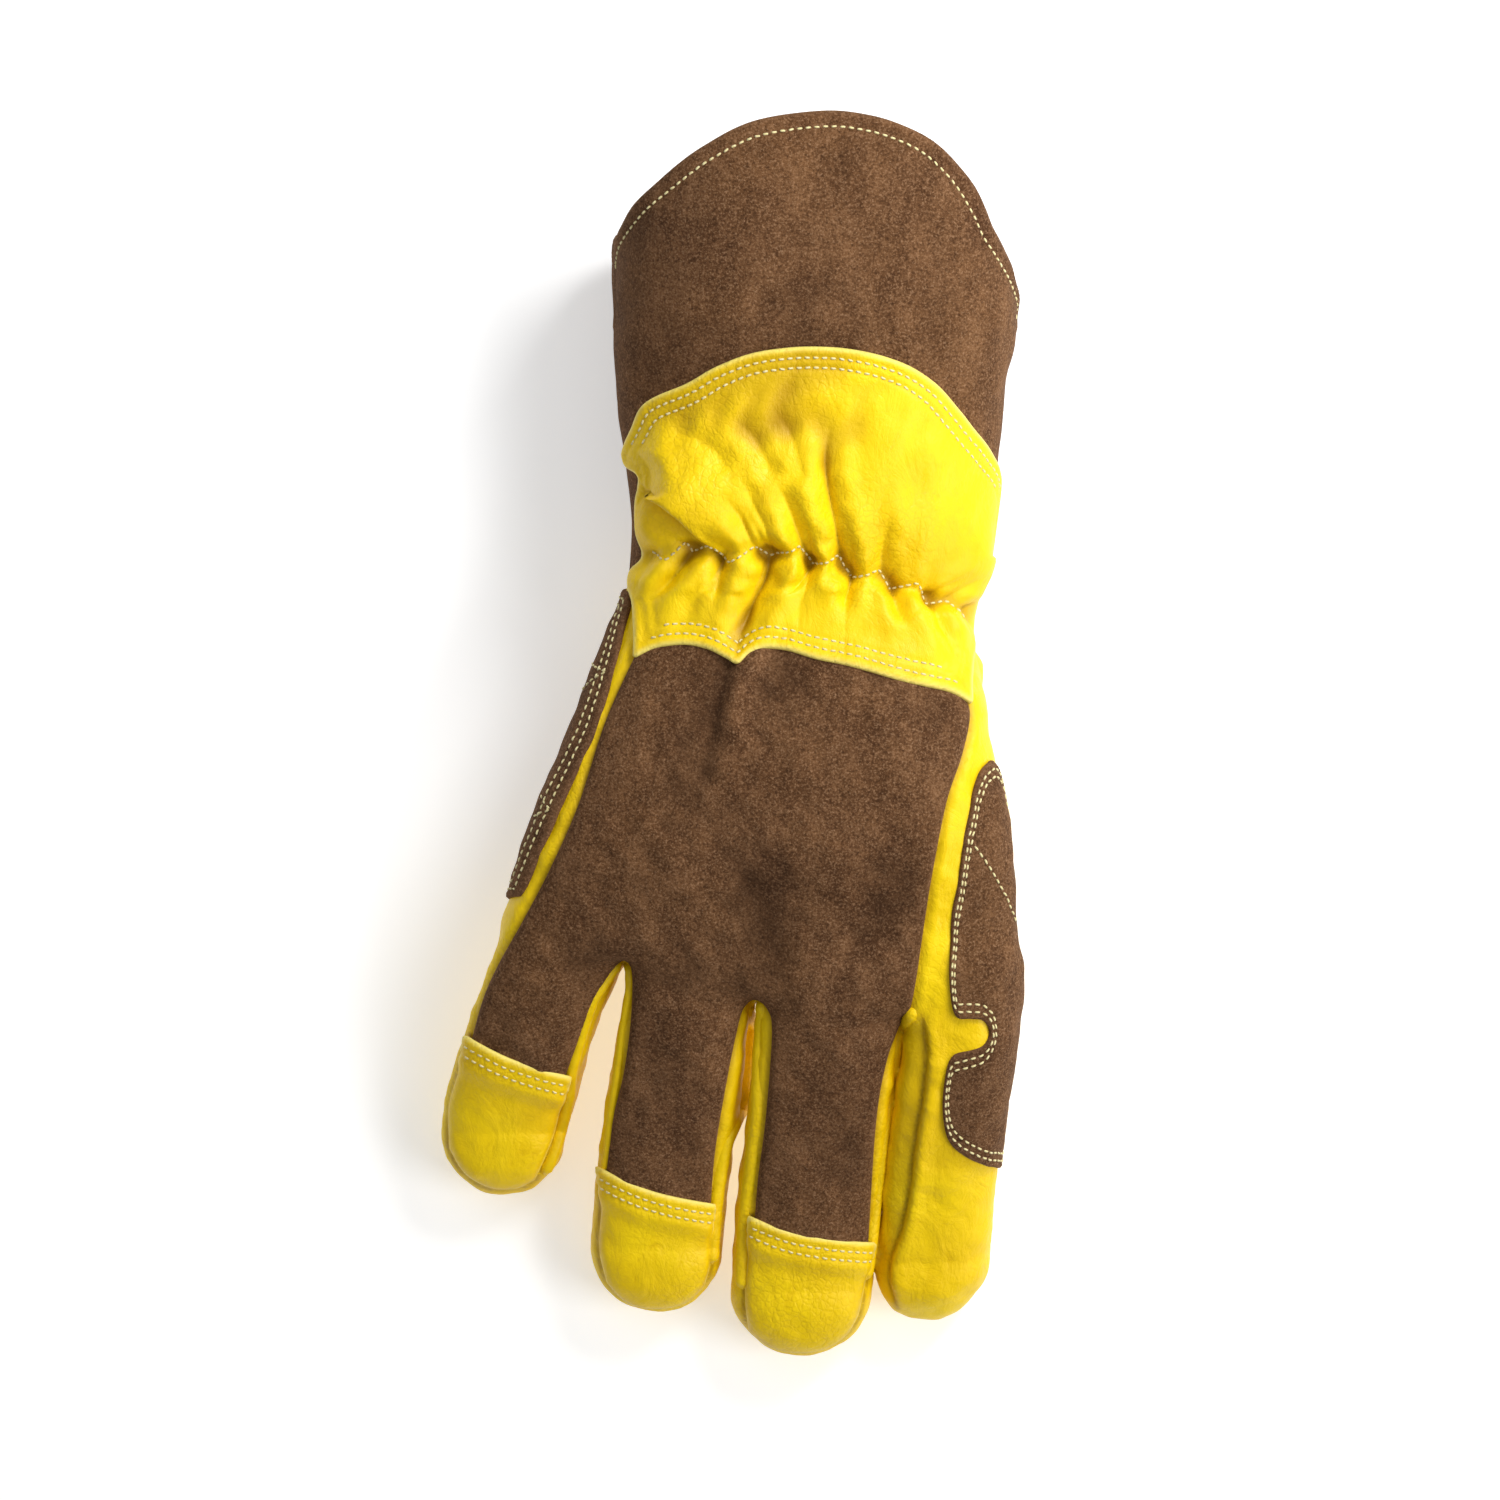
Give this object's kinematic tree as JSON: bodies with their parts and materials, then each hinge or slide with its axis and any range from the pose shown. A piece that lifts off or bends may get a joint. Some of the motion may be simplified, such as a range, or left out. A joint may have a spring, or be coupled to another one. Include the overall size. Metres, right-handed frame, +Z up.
{
  "type": "welding glove",
  "caption": "Right-hand gauntlet welding glove of grain leather and suede, palm down, with hollow lined fingers, a gathered wrist and a flared cuff that open and bend.",
  "frame": {"origin": "on the surface that the glove rests on, under the middle of its bounding box", "axes": "+Y along the glove from the fingertips to the cuff's mouth, +X towards the index finger's side, +Z up out of the back of the hand"},
  "size_m": [0.1692, 0.3568, 0.0799],
  "materials": {
    "brown_suede": "brown split-cowhide suede with a short nap",
    "yellow_grain": "bright yellow grain cowhide with a soft sheen and a fine pebble",
    "hand_fleece": "brushed cotton fleece",
    "cuff_canvas": "plain-weave cotton canvas",
    "elastic": "woven elastic",
    "thread": "cream heat-resistant sewing thread"
  },
  "bodies": {
    "hand": {"back_panel": "brown_suede", "hand_lining": "hand_fleece", "index_side_patch_hand": "brown_suede", "palm_panel": "yellow_grain", "pinky_side_patch": "brown_suede", "thumb_saddle": "yellow_grain", "wrist_elastic": "elastic", "wrist_panel_hand": "yellow_grain"},
    "cuff": {"cuff_back": "brown_suede", "cuff_lining": "cuff_canvas", "cuff_palm": "brown_suede", "wrist_panel_cuff": "yellow_grain"},
    "pinky": {"pinky_back": "brown_suede", "pinky_fourchette_index_side": "yellow_grain", "pinky_fourchette_pinky_side": "yellow_grain", "pinky_front": "yellow_grain", "pinky_lining": "hand_fleece", "pinky_tip": "yellow_grain"},
    "ring": {"ring_back": "brown_suede", "ring_fourchette_index_side": "yellow_grain", "ring_fourchette_pinky_side": "yellow_grain", "ring_front": "yellow_grain", "ring_lining": "hand_fleece", "ring_tip": "yellow_grain"},
    "middle": {"middle_back": "brown_suede", "middle_fourchette_index_side": "yellow_grain", "middle_fourchette_pinky_side": "yellow_grain", "middle_front": "yellow_grain", "middle_lining": "hand_fleece", "middle_tip": "yellow_grain"},
    "index": {"index_fourchette": "yellow_grain", "index_lining": "hand_fleece", "index_side_patch_finger": "brown_suede", "index_wrap": "yellow_grain"},
    "thumb": {"thumb_back": "yellow_grain", "thumb_front": "yellow_grain", "thumb_lining": "hand_fleece"}
  },
  "joints": [
    {"name": "wrist_bend", "type": "hinge", "parent": "hand", "child": "cuff", "pos_m": [0.023, 0.049, 0.038], "axis": [1, 0, 0], "range_deg": [-20, 20]},
    {"name": "pinky_curl", "type": "hinge", "parent": "hand", "child": "pinky", "pos_m": [-0.0495, -0.061, 0.0212], "axis": [1, 0, 0], "range_deg": [0, 60]},
    {"name": "ring_curl", "type": "hinge", "parent": "hand", "child": "ring", "pos_m": [-0.0125, -0.0665, 0.0242], "axis": [1, 0, 0], "range_deg": [0, 60]},
    {"name": "middle_curl", "type": "hinge", "parent": "hand", "child": "middle", "pos_m": [0.027, -0.0745, 0.0267], "axis": [1, 0, 0], "range_deg": [0, 60]},
    {"name": "index_curl", "type": "hinge", "parent": "hand", "child": "index", "pos_m": [0.066, -0.077, 0.0297], "axis": [1, 0, 0], "range_deg": [0, 60]},
    {"name": "thumb_swing", "type": "hinge", "parent": "hand", "child": "thumb", "pos_m": [0.075, -0.0045, 0.0145], "axis": [0, 0, 1], "range_deg": [0, 40]}
  ]
}
